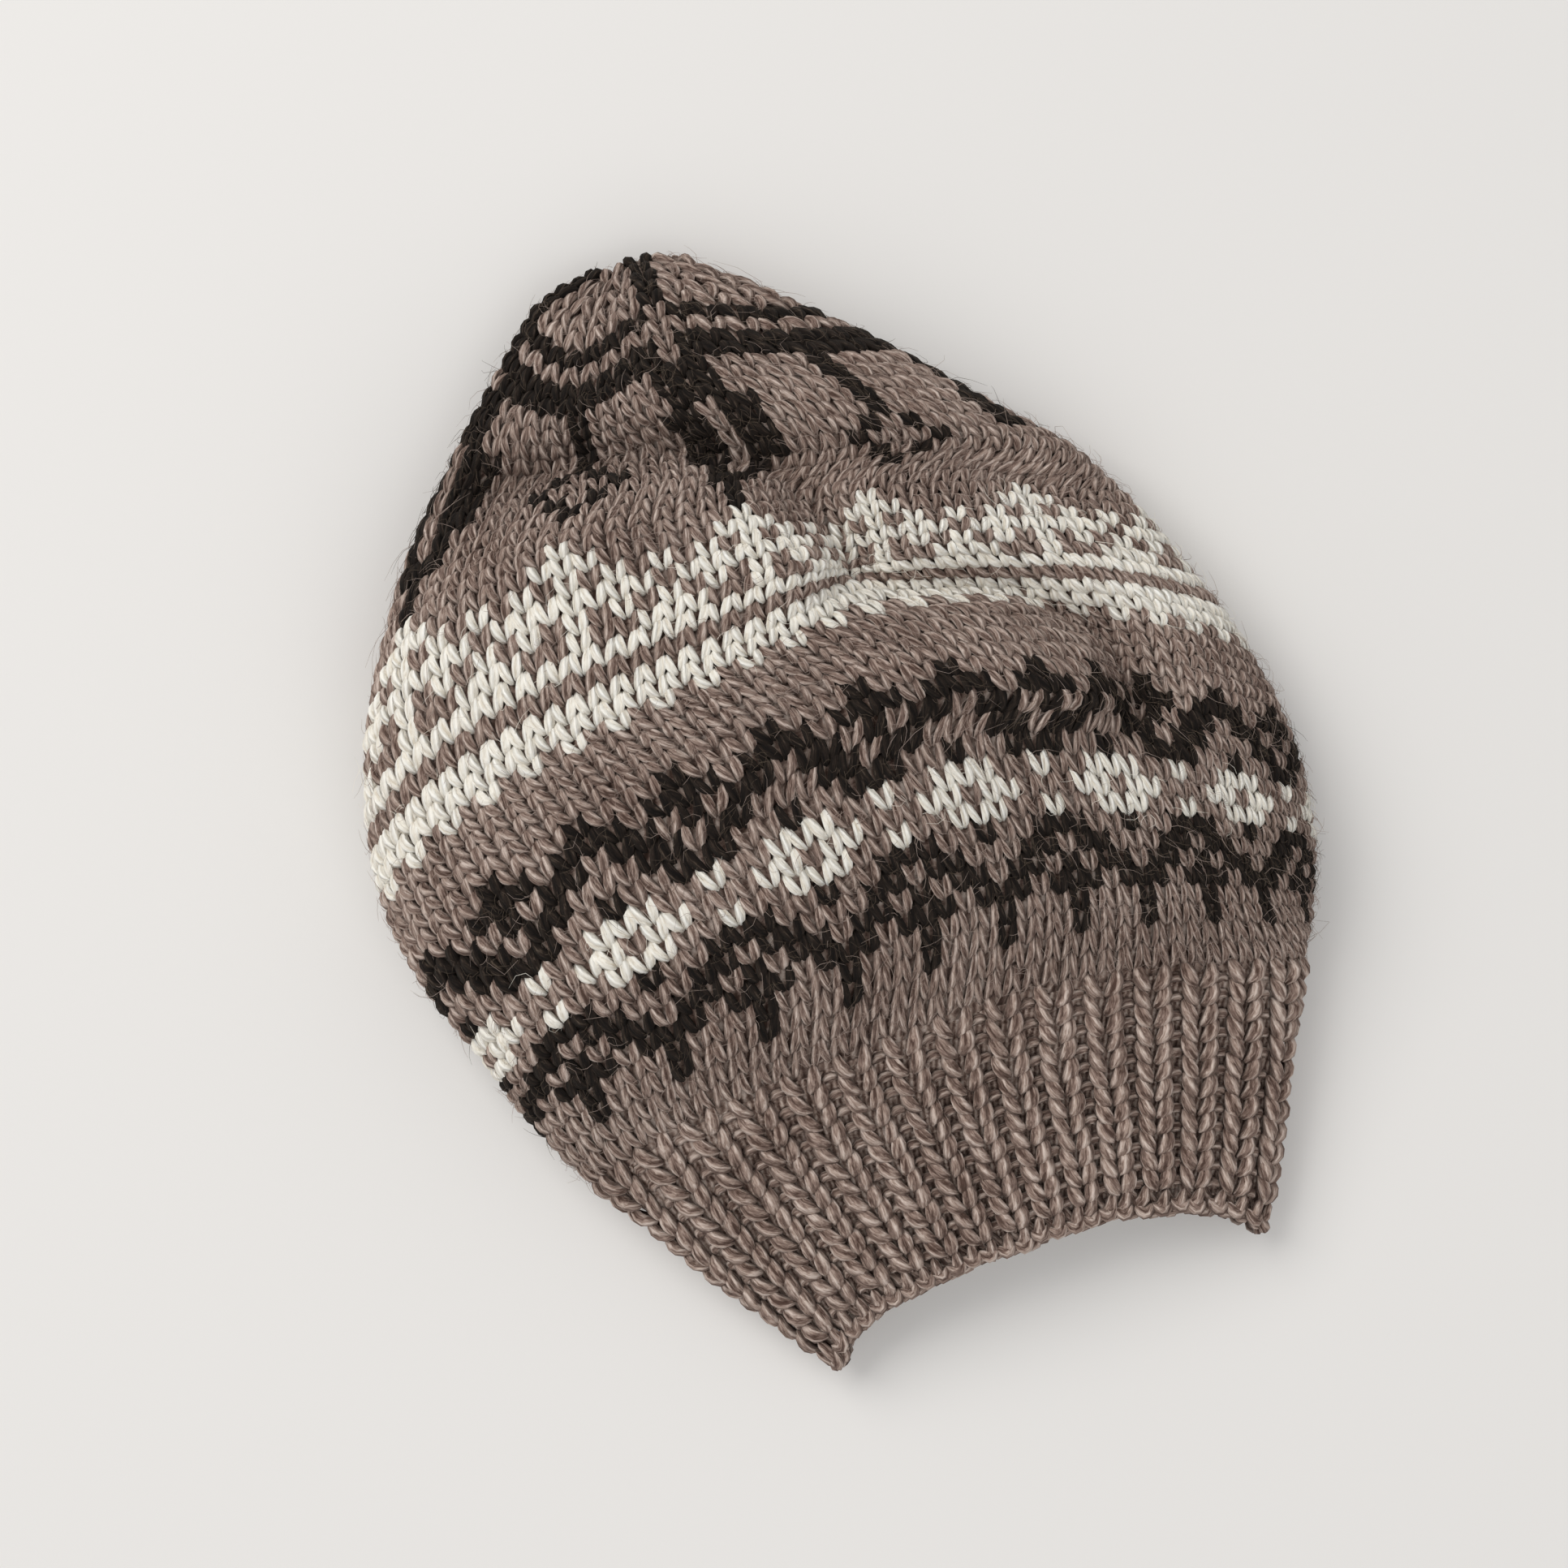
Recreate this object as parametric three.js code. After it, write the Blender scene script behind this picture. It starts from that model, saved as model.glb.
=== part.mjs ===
// A knitted beret lying on its side, with its ribbed opening toward -Y and its crown tip toward +Y.
// Its flattened underside rests on the plane z = 0, and the origin is under the middle of the hat.
import * as THREE from 'three';

// Size of the hat as it lies, in millimetres
const HAT_LENGTH = 255;
const HAT_WIDTH = 207;
const HAT_HEIGHT = 54;

// Cloth and ribs
const WALL = 3;
const RIB_DEPTH = 1.3;
const BACK_LIP = 1.5;
const PIECE_GAP = 0.3;
const TIP_CAP = 1.2;

// Knitting: rows count from the cast-on edge, wales are the stitch columns round the body
const BODY_WALES = 80;
const RIB_COUNT = 30;
const RIB_WALE = 28;
const BAND_ROWS = 13;
const TIP_ROW = 64;
const HOLLOW_END_ROW = 61.5;

// Fineness of the facets
const POINTS_PER_RIB = 3;
const BAND_RINGS = 6;
const BAND_INNER_RINGS = 4;
const FOLD_ROWS = [33, 51];
const START_RINGS = 6;
const FOLD_RINGS = 13;
const END_RINGS = 5;
const LOOP_SAMPLES = 240;

// How the cloth lies: powers of the droop at each side, of the right side's at the rim and of the
// arch, and the turn under the sides
const LEFT_DROOP_POWER = 5;
const RIGHT_DROOP_POWER = 1.7;
const RIM_DROOP_POWER = 3;
const ARCH_POWER = 0.9;
const UNDER_TURN = 1.8;
const TIP_LIFT = 0.12;
const TIP_LIFT_ROWS = 7;

// Courses that set the form. left, mid and right are the places of the upper layer's two sides and
// middle, as shares of the hat's width and length. tilt is the rise across half a course, a share of
// the length. loft is a share of the height, and side is where the widest line lies, a share of the
// loft. wales are the stitch columns at the left side, the middle of the arch and the right side.
const SECTIONS = [
  { row: 0, left: [-0.228, 0.004], mid: [0.035, 0.054], right: [0.295, -0.018],
    tilt: 0, loft: 0.42, side: 0.4, wales: [-9, 10, 28.8] },
  { row: 13, left: [-0.395, 0.228], mid: [0.05, 0.262], right: [0.432, 0.186],
    tilt: 0, loft: 0.62, side: 0.36, wales: [-11.3, 8.4, 30.6] },
  { row: 17, left: [-0.435, 0.301], mid: [0.041, 0.344], right: [0.467, 0.241],
    tilt: 0.02, loft: 0.8, side: 0.34, wales: [-12.3, 6.2, 34.2] },
  { row: 23, left: [-0.46, 0.374], mid: [0.049, 0.453], right: [0.499, 0.314],
    tilt: 0.03, loft: 0.95, side: 0.33, wales: [-13.3, 6.1, 36.5] },
  { row: 29, left: [-0.494, 0.467], mid: [0.055, 0.566], right: [0.509, 0.405],
    tilt: 0.03, loft: 1, side: 0.33, wales: [-14, 6.6, 35] },
  { row: 35, left: [-0.5, 0.56], mid: [0.055, 0.637], right: [0.493, 0.497],
    tilt: 0.02, loft: 1, side: 0.33, wales: [-14, 7, 33.5] },
  { row: 40, left: [-0.467, 0.661], mid: [0.048, 0.694], right: [0.465, 0.579],
    tilt: -0.03, loft: 0.96, side: 0.34, wales: [-13.2, 7.3, 32.5] },
  { row: 44, left: [-0.418, 0.736], mid: [0.041, 0.741], right: [0.437, 0.642],
    tilt: -0.06, loft: 0.92, side: 0.35, wales: [-12.5, 7, 30.5] },
  { row: 48, left: [-0.34, 0.826], mid: [0.041, 0.788], right: [0.398, 0.707],
    tilt: -0.04, loft: 0.84, side: 0.36, wales: [-11.5, 6, 25.5] },
  { row: 52, left: [-0.257, 0.896], mid: [0.026, 0.846], right: [0.334, 0.767],
    tilt: -0.02, loft: 0.74, side: 0.38, wales: [-10.5, 7.6, 23.8] },
  { row: 57, left: [-0.168, 0.96], mid: [0.01, 0.912], right: [0.24, 0.86],
    tilt: 0, loft: 0.58, side: 0.42, wales: [-10.6, 8.4, 22] },
  { row: 61, left: [-0.1, 1.002], mid: [0.005, 0.97], right: [0.15, 0.935],
    tilt: 0, loft: 0.42, side: 0.46, wales: [-10.8, 7.6, 19.5] },
  { row: 64, left: [-0.035, 1.015], mid: [0.01, 1.01], right: [0.075, 0.997],
    tilt: 0, loft: 0.1, side: 0.5, wales: [-10.5, 7, 18] },
];

// Folds of the upper layer. line is the run of the fold, as shares of the width and length, reach is
// its half width, a share of the length, and drop is its depth, a share of the height. gather is how
// far the cloth beside it is drawn in, a share of its way to the fold.
const FOLDS = [
  { line: [[-0.22, 0.85], [-0.11, 0.845], [-0.01, 0.82], [0.08, 0.77], [0.12, 0.68]],
    reach: 0.034, drop: 0.27, gather: 0.5 },
  { line: [[0.09, 0.66], [0.18, 0.63], [0.27, 0.6], [0.34, 0.54], [0.35, 0.47]],
    reach: 0.029, drop: 0.22, gather: 0.5 },
  { line: [[0.14, 0.76], [0.27, 0.73], [0.38, 0.66]], reach: 0.034, drop: 0.15, gather: 0.4 },
];

// Ridges of the upper layer, where the cloth swells beside a fold: rise is a share of the height
const RIDGES = [
  { line: [[-0.2, 0.79], [-0.08, 0.78], [0, 0.75], [0.06, 0.68]], reach: 0.04, rise: 0.12 },
  { line: [[0.12, 0.57], [0.21, 0.55], [0.28, 0.5]], reach: 0.036, rise: 0.1 },
];

// Swells of the upper layer, each about one point: reach is its radius, a share of the length
const SWELLS = [
  { at: [-0.14, 0.66], reach: 0.16, rise: 0.06 },
  { at: [0.2, 0.55], reach: 0.07, rise: 0.07 },
  { at: [0.3, 0.78], reach: 0.06, rise: 0.04 },
];

// Columns of the sections, with the place in the list where a column holds a list
const COLUMNS = ['left0', 'left1', 'mid0', 'mid1', 'right0', 'right1', 'tilt', 'loft', 'side',
  'wales0', 'wales1', 'wales2'];

const lerp = (a, b, t) => a + (b - a) * t;
const clamp01 = (t) => Math.min(1, Math.max(0, t));

// One value of a section row, by its column's name
function sectionValue(section, column) {
  const list = section[column.replace(/\d$/, '')];
  return Array.isArray(list) ? list[Number(column.slice(-1))] : list;
}

// Slope of a column at one section, from the sections on both sides of it
function sectionSlope(index, column) {
  const before = SECTIONS[Math.max(0, index - 1)];
  const after = SECTIONS[Math.min(SECTIONS.length - 1, index + 1)];
  return (sectionValue(after, column) - sectionValue(before, column)) / (after.row - before.row);
}

// All values at any row, along a smooth cubic through the sections
function courseValues(row) {
  let index = 0;
  while (index < SECTIONS.length - 2 && row > SECTIONS[index + 1].row) index += 1;
  const start = SECTIONS[index];
  const end = SECTIONS[index + 1];
  const span = end.row - start.row;
  const t = (row - start.row) / span;
  const values = {};
  for (const column of COLUMNS) {
    const startSlope = sectionSlope(index, column) * span;
    const endSlope = sectionSlope(index + 1, column) * span;
    values[column] = sectionValue(start, column) * (1 + 2 * t) * (1 - t) ** 2 + startSlope * t * (1 - t) ** 2
      + sectionValue(end, column) * t ** 2 * (3 - 2 * t) - endSlope * t ** 2 * (1 - t);
  }
  return values;
}

// Way from the nearest point of a fold's line to a place on the plan
function gapToLine(x, y, line) {
  let best = [Infinity, Infinity];
  for (let k = 0; k < line.length - 1; k += 1) {
    const fromX = line[k][0] * HAT_WIDTH;
    const fromY = line[k][1] * HAT_LENGTH;
    const runX = line[k + 1][0] * HAT_WIDTH - fromX;
    const runY = line[k + 1][1] * HAT_LENGTH - fromY;
    const along = clamp01(((x - fromX) * runX + (y - fromY) * runY) / (runX ** 2 + runY ** 2));
    const gap = [x - fromX - along * runX, y - fromY - along * runY];
    if (Math.hypot(...gap) < Math.hypot(...best)) best = gap;
  }
  return best;
}

// A point of one course. The angle runs from 0 at the left side over the top to PI at the right side
// and back below; inset is how deep the point lies under the outer surface.
function coursePoint(row, course, angle, inset) {
  const across = -Math.cos(angle);
  const arch = Math.sin(angle);
  const centre = (course.left0 + course.right0) / 2;
  const half = (course.right0 - course.left0) / 2;
  const middle = (course.mid0 - centre) / half;
  const leftDroop = course.left1 - course.mid1 + course.tilt * (1 + middle);
  const rightDroop = course.right1 - course.mid1 - course.tilt * (1 - middle);
  const toLeft = Math.max(0, (middle - across) / (1 + middle)) ** LEFT_DROOP_POWER;
  const rightPower = lerp(RIM_DROOP_POWER, RIGHT_DROOP_POWER, clamp01(row / BAND_ROWS));
  const toRight = Math.max(0, (across - middle) / (1 - middle)) ** rightPower;
  const upper = clamp01(arch * 1.4);
  const lower = clamp01(-arch * 1.4);
  let x = centre * HAT_WIDTH + across * (half * HAT_WIDTH - inset);
  let y = course.mid1 + course.tilt * (across - middle) + leftDroop * toLeft + rightDroop * toRight;
  y *= HAT_LENGTH;
  y -= BACK_LIP * lower * clamp01(1 - row / BAND_ROWS);
  const height = HAT_HEIGHT * course.loft;
  const side = height * course.side;
  const under = Math.min(Math.PI / 2, UNDER_TURN * Math.min(Math.abs(Math.PI - angle), 2 * Math.PI - angle));
  let z = side;
  if (arch >= 0) z += (height - side - inset) * arch ** ARCH_POWER;
  else z -= (side - inset) * Math.sin(under);
  z += HAT_HEIGHT * TIP_LIFT * clamp01((row - TIP_ROW + TIP_LIFT_ROWS) / TIP_LIFT_ROWS) ** 2;

  let drawX = 0;
  let drawY = 0;
  let valley = 0;
  for (const fold of FOLDS) {
    const [gapX, gapY] = gapToLine(x, y, fold.line);
    const near = upper * Math.exp(-(gapX ** 2 + gapY ** 2) / (fold.reach * HAT_LENGTH) ** 2);
    valley += (fold.drop * near) ** 2;
    drawX += fold.gather * near * gapX;
    drawY += fold.gather * near * gapY;
  }
  let swell = 0;
  for (const { line, reach, rise } of RIDGES) {
    const gap = Math.hypot(...gapToLine(x, y, line)) / (reach * HAT_LENGTH);
    swell += rise * upper * Math.exp(-(gap ** 2));
  }
  for (const { at, reach, rise } of SWELLS) {
    const gap = ((x - at[0] * HAT_WIDTH) ** 2 + (y - at[1] * HAT_LENGTH) ** 2) / (reach * HAT_LENGTH) ** 2;
    swell += rise * upper * Math.exp(-gap);
  }
  return new THREE.Vector3(x - drawX, y - drawY, z + HAT_HEIGHT * (swell - Math.sqrt(valley)));
}

// The angle of every wanted wale of a course. Stitches are spread by length along the arch and along
// the underside, and the middle wale sets how they crowd to one side of the arch.
function waleAngles(row, course, wales) {
  const angles = [];
  const lengths = [0];
  let last = null;
  for (let i = 0; i <= LOOP_SAMPLES; i += 1) {
    const angle = (2 * Math.PI * i) / LOOP_SAMPLES;
    const point = coursePoint(row, course, angle, 0).setY(0);
    if (last) lengths.push(lengths[i - 1] + point.distanceTo(last));
    angles.push(angle);
    last = point;
  }
  const top = lengths[LOOP_SAMPLES / 2];
  const under = lengths[LOOP_SAMPLES] - top;
  const lean = course.wales1 - (course.wales0 + course.wales2) / 2;
  const at = lengths.map((length) => {
    if (length > top) {
      return lerp(course.wales2, course.wales0 + BODY_WALES, (length - top) / under);
    }
    const t = length / top;
    return lerp(course.wales0, course.wales2, t) + lean * 4 * t * (1 - t);
  });
  return wales.map((wale) => {
    const turned = at[0] + ((((wale - at[0]) % BODY_WALES) + BODY_WALES) % BODY_WALES);
    let k = 0;
    while (k < LOOP_SAMPLES - 1 && at[k + 1] < turned) k += 1;
    return lerp(angles[k], angles[k + 1], clamp01((turned - at[k]) / (at[k + 1] - at[k])));
  });
}

// One ring of points round a course; depthAt gives each point's depth under the outer surface
const POINTS_ROUND = RIB_COUNT * POINTS_PER_RIB;
const RING_WALES = Array.from({ length: POINTS_ROUND }, (_, i) => RIB_WALE + (i * BODY_WALES) / POINTS_ROUND);

function ring(row, depthAt, shiftY = 0) {
  const course = courseValues(row);
  const angles = waleAngles(row, course, RING_WALES);
  return angles.map((angle, i) => {
    const point = coursePoint(row, course, angle, depthAt(i));
    point.y += shiftY;
    return point;
  });
}

// Rib wave: 0 on the raised knit column, RIB_DEPTH in the sunk purl column, fading out at the top row
function ribDepth(row) {
  const fade = clamp01((BAND_ROWS - row) / 3);
  return (i) => RIB_DEPTH * fade * (0.5 - 0.5 * Math.cos((2 * Math.PI * i) / POINTS_PER_RIB));
}

// Rows spread evenly between two ends
function rowsBetween(start, end, steps) {
  return Array.from({ length: steps + 1 }, (_, k) => lerp(start, end, k / steps));
}

// A closed mesh from rings in order, the last joined to the first. A single point closes a pole.
function skin(name, loops, colour) {
  const positions = [];
  const starts = loops.map((loop) => {
    const start = positions.length / 3;
    loop.forEach((point) => positions.push(point.x, point.y, point.z));
    return start;
  });
  const faces = [];
  for (let k = 0; k < loops.length; k += 1) {
    const next = (k + 1) % loops.length;
    const bothPoles = loops[k].length === 1 && loops[next].length === 1;
    for (let i = 0; i < POINTS_ROUND && !bothPoles; i += 1) {
      const j = (i + 1) % POINTS_ROUND;
      if (loops[k].length === 1) {
        faces.push(starts[k], starts[next] + j, starts[next] + i);
      } else if (loops[next].length === 1) {
        faces.push(starts[k] + i, starts[k] + j, starts[next]);
      } else {
        faces.push(starts[k] + i, starts[k] + j, starts[next] + i);
        faces.push(starts[k] + j, starts[next] + j, starts[next] + i);
      }
    }
  }
  const geometry = new THREE.BufferGeometry();
  geometry.setAttribute('position', new THREE.Float32BufferAttribute(positions, 3));
  geometry.setIndex(faces);
  const material = new THREE.MeshStandardMaterial({ color: colour, roughness: 0.95, metalness: 0 });
  const mesh = new THREE.Mesh(geometry, material);
  mesh.name = name;
  return mesh;
}

// Middle of a ring, moved along Y
function ringCentre(points, shiftY) {
  const centre = points.reduce((sum, point) => sum.add(point), new THREE.Vector3());
  centre.divideScalar(points.length);
  centre.y += shiftY;
  return centre;
}

// Ribbed band: out along the ribs from the cast-on edge, then back inside
function ribbedBand() {
  const outer = rowsBetween(0, BAND_ROWS, BAND_RINGS)
    .map((row) => ring(row, ribDepth(row), row === BAND_ROWS ? -PIECE_GAP / 2 : 0));
  const inner = rowsBetween(BAND_ROWS, 0, BAND_INNER_RINGS)
    .map((row) => ring(row, (i) => WALL + ribDepth(row)(i), row === BAND_ROWS ? -PIECE_GAP / 2 : 0));
  return skin('ribbed_band', [...outer, ...inner], 0x7d6c62);
}

// Crown: the swelling body and the closed tip over one hollow, its rings closer where the folds lie
function crown() {
  const rows = [
    ...rowsBetween(BAND_ROWS, FOLD_ROWS[0], START_RINGS),
    ...rowsBetween(FOLD_ROWS[0], FOLD_ROWS[1], FOLD_RINGS).slice(1),
    ...rowsBetween(FOLD_ROWS[1], TIP_ROW, END_RINGS).slice(1),
  ];
  const outer = rows.map((row) => ring(row, () => 0, row === BAND_ROWS ? PIECE_GAP / 2 : 0));
  const inner = rows.filter((row) => row <= HOLLOW_END_ROW).reverse()
    .map((row) => ring(row, () => WALL, row === BAND_ROWS ? PIECE_GAP / 2 : 0));
  const tip = [ringCentre(outer[outer.length - 1], TIP_CAP)];
  const hollowEnd = [ringCentre(inner[0], 0)];
  return skin('crown', [...outer, tip, hollowEnd, ...inner], 0x6f6058);
}

const group = new THREE.Group();
group.add(ribbedBand());
group.add(crown());

const box = new THREE.Box3().setFromObject(group, true);
const middle = box.getCenter(new THREE.Vector3());
group.position.set(-middle.x, -middle.y, -box.min.z);

export default group;
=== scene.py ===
"""The knitted beret lying on its side. Every stitch is laid on the same curved cloth as the solid walls.

Lengths are millimetres until a mesh is made, which is in metres. The camera and the lights are in metres.
A place on the cloth is a row, counted from the cast-on edge, and a wale, the stitch column round the body.
"""
import math

import bpy
import numpy as np
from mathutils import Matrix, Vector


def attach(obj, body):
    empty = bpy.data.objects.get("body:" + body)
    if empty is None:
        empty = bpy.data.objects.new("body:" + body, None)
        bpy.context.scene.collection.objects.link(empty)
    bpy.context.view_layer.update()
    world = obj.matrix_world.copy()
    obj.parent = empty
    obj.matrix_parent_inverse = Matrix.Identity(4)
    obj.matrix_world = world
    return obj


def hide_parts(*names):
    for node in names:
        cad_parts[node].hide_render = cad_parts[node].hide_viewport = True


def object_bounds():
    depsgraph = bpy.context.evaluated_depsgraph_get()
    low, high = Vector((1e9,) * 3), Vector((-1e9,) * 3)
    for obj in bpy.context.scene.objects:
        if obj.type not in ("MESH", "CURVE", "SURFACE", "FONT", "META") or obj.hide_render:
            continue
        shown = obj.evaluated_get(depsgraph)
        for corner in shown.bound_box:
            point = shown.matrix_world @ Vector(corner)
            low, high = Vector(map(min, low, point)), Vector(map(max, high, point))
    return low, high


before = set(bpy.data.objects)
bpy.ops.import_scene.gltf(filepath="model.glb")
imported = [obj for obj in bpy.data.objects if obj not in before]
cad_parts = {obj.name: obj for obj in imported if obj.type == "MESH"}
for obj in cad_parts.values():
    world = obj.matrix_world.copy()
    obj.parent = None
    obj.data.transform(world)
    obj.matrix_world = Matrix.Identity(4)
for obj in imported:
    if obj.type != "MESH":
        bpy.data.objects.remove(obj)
CAD_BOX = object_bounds()

# Size of the hat as it lies, and how its cloth lies, as in the solid walls
HAT_LENGTH = 255.0
HAT_WIDTH = 207.0
HAT_HEIGHT = 54.0
BACK_LIP = 1.5
WALL = 3.0
TIP_CAP = 1.2
RIB_DEPTH = 1.3
LEFT_DROOP_POWER = 5.0
RIGHT_DROOP_POWER = 1.7
RIM_DROOP_POWER = 3.0
ARCH_POWER = 0.9
ARCH_STEPS = 240
LAYER_EDGE = 1.4
UNDER_TURN = 1.8
TIP_LIFT = 0.12
TIP_LIFT_ROWS = 7.0

# Knitting, counted in courses (rows) and stitch columns (wales)
BODY_WALES = 80
RIB_COUNT = 30
RIB_WALE = 28.0
BAND_ROWS = 13
TIP_ROW = 64
CLOSED_ROW = 66.0
FIRST_RIB_ROW = 1.35
RIB_ROWS = 12
RIB_ROW_STEP = 1.05
RIB_STITCH_WALES = 2.1
FIRST_PLAIN_ROW = 14
WEDGE_WALES = 16
FIRST_DECREASE = 52
WHOLE_HALF_WEDGE = 7
REPEAT_WALES = 8
# The courses at which the pieces of one yarn are parted
FIRST_BODY_ROW = 30
FIRST_CROWN_ROW = 46
CROWN_MOTIF_ROW = 40
# The scalloped courses of the crown, the skewed columns low on the body and the raised decrease chains
SCALLOP_START = 47
SCALLOP_ROWS = 9.0
SCALLOP_END_ROWS = 4
SCALLOP = 1.1
LOW_SKEW = 0.4
SKEW_END = 40
SKEW_ROWS = 10
CHAIN_RAISE = 0.5
CHAIN_RAISE_ROWS = 4

# Yarn: its radius as a share of a stitch's width and at most, in millimetres, and its section
YARN_SHARE = 0.234
THICKEST = 1.55
YARN_FLATNESS = 0.82
YARN_SIDES = 6
PATTERN_STEP = 2.5
PATTERN_TURNS = 400
PATTERN_TURN = 1.7
# The stations along every strand, from end to end
LEG_T = np.array([0, 0.08, 0.24, 0.43, 0.62, 0.8, 0.93, 1])
# A stitch leg: its lean, start and spread in stitch widths, its foot and climb in rows, and its depth
# and rise in millimetres
LEAN = 0.03
LEG_START = 0.045
LEG_SPREAD = 0.34
LEG_FOOT = -0.68
LEG_CLIMB = 1.46
LEG_DEPTH = 2.35
LEG_RISE = 1.6
# How far the same measures wander from stitch to stitch
WANDER = {"spread": 0.03, "wale": 0.018, "row": 0.03, "legs": 0.035, "rise": 0.1, "radius": 0.05}
# The stitches of the ribs
RIB_FATNESS = 1.22
RIB_SPREAD = 0.32
RIB_RAISE = 0.5
# The purl bumps: radius, depth and rise in millimetres, bow in rows and length in wales
PURL_RADIUS = 1.35
PURL_DEPTH = 1.9
PURL_RISE = 1.0
PURL_BOW = 0.3
PURL_WALES = 1.0
# The cast-on loops: radius, depth and swing in millimetres, top and reach in rows, slant in wales
LOOP_RADIUS = 1.75
LOOP_DEPTH = 2.1
LOOP_SWING = 1.5
LOOP_TOP = 1.05
LOOP_REACH = 1.3
LOOP_SLANT = 1.3
# The beads beside them: radius and rise in millimetres, length in wales, bow in rows, and for each
# line of beads its shift in wales, its row and its lift
BEAD_RADIUS = 1.6
BEAD_RISE = 0.5
BEAD_WALES = 1.35
BEAD_BOW = 0.5
BEAD_LINES = ((0.2, 0.15, -1.3), (0.85, 0.0, -3.0))
# The inside of the fabric: its two faces in millimetres below the outside, the height of its bumps, the
# row that it starts at, and its steps along the band and the crown
INSIDE_TOP = 2.3
INSIDE_BOTTOM = WALL + 0.1
INSIDE_BUMP = 0.4
INSIDE_FIRST_ROW = 0.45
BAND_BACK_STEPS = 38
CROWN_BACK_STEPS = 106
# Stray fibres, in millimetres
FIBRE_RADIUS = 0.065
FIBRE_TIP = 0.35
FIBRE_SIDES = 3
FIBRE_STATIONS = 4
FIBRE_ROOT = 0.35
ROW_HEIGHT = 4.8
NARROWEST_WALE = 2.0
# How they lie: start in rows and wales, spread of the length, slant, turn in radians and sag
FIBRE_ROWS = 0.6
FIBRE_WALES = 0.5
FIBRE_LENGTHS = 0.45
FIBRE_SLANTS = (0.15, 0.9)
FIBRE_TURN = 1.2
FIBRE_SAG = 0.45
# The yarn's pattern: slants in degrees, scales across and along, and the depth of its relief in metres
FIBRE_ANGLE = -9
FIBRE_STRETCH = 1.15
PLY_ANGLE = -13
PLY_SCALE = 0.34
# Painted shade and highlight: the share by which the ply wave darkens the ply grooves and lightens the ply
# crests
PLY_PAINTED_SHADE = 0.2
CLOUD_SCALE = 55.0
RELIEF = 0.0008
RELIEF_STRENGTH = 0.85
# The sine of the angle round a strand where its flank ends and where its crest starts; the painted shade on
# a strand's flanks and underside fades out between the two
FLANK = 0.3
CREST = 0.95

FLOOR_GAP = 0.05
SEED = 20
MM = 0.001
SMALL = 1e-9

# left, mid and right are the places of the upper layer's two sides and middle, as shares of the hat's
# width and length. tilt is the rise across half a course, loft a share of the height, side where the
# widest line lies, and wales the stitch columns at the left side, the middle of the arch and the right.
SECTION_COLUMNS = ("row", "left_x", "left_y", "mid_x", "mid_y", "right_x", "right_y",
                   "tilt", "loft", "side", "left_wale", "mid_wale", "right_wale")
SECTIONS = np.array([
    (0, -0.228, 0.004, 0.035, 0.054, 0.295, -0.018, 0, 0.42, 0.4, -9, 10, 28.8),
    (13, -0.395, 0.228, 0.05, 0.262, 0.432, 0.186, 0, 0.62, 0.36, -11.3, 8.4, 30.6),
    (17, -0.435, 0.301, 0.041, 0.344, 0.467, 0.241, 0.02, 0.8, 0.34, -12.3, 6.5, 35),
    (23, -0.46, 0.374, 0.049, 0.453, 0.499, 0.314, 0.03, 0.95, 0.33, -13.3, 6.4, 37.4),
    (29, -0.494, 0.467, 0.055, 0.566, 0.509, 0.405, 0.03, 1, 0.33, -14, 6.8, 35.5),
    (35, -0.5, 0.56, 0.055, 0.637, 0.493, 0.497, 0.02, 1, 0.33, -14, 7, 33.5),
    (40, -0.467, 0.661, 0.048, 0.694, 0.465, 0.579, -0.03, 0.96, 0.34, -13.2, 7.3, 32.5),
    (44, -0.418, 0.736, 0.041, 0.741, 0.437, 0.642, -0.06, 0.92, 0.35, -12.5, 7, 30.5),
    (48, -0.34, 0.826, 0.041, 0.788, 0.398, 0.707, -0.04, 0.84, 0.36, -11.5, 6, 25.5),
    (52, -0.257, 0.896, 0.026, 0.846, 0.334, 0.767, -0.02, 0.74, 0.38, -10.5, 7.6, 23.8),
    (57, -0.168, 0.96, 0.01, 0.912, 0.24, 0.86, 0, 0.58, 0.42, -10.6, 8.4, 22),
    (61, -0.1, 1.002, 0.005, 0.97, 0.15, 0.935, 0, 0.42, 0.46, -10.8, 7.6, 19.5),
    (64, -0.035, 1.015, 0.01, 1.01, 0.075, 0.997, 0, 0.1, 0.5, -10.5, 7, 18),
])

# Folds: the run of each, its half width, its depth and how far it draws in the cloth beside it
FOLDS = [
    {"line": [(-0.22, 0.85), (-0.11, 0.845), (-0.01, 0.82), (0.08, 0.77), (0.12, 0.68)],
     "reach": 0.034, "drop": 0.27, "gather": 0.5},
    {"line": [(0.09, 0.66), (0.18, 0.63), (0.27, 0.6), (0.34, 0.54), (0.35, 0.47)],
     "reach": 0.029, "drop": 0.22, "gather": 0.5},
    {"line": [(0.14, 0.76), (0.27, 0.73), (0.38, 0.66)], "reach": 0.034, "drop": 0.15, "gather": 0.4},
]
RIDGES = [
    {"line": [(-0.2, 0.79), (-0.08, 0.78), (0.0, 0.75), (0.06, 0.68)], "reach": 0.04, "rise": 0.12},
    {"line": [(0.12, 0.57), (0.21, 0.55), (0.28, 0.5)], "reach": 0.036, "rise": 0.1},
]
SWELLS = [
    {"at": (-0.14, 0.66), "reach": 0.16, "rise": 0.06},
    {"at": (0.2, 0.55), "reach": 0.07, "rise": 0.07},
    {"at": (0.3, 0.78), "reach": 0.06, "rise": 0.04},
]

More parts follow.
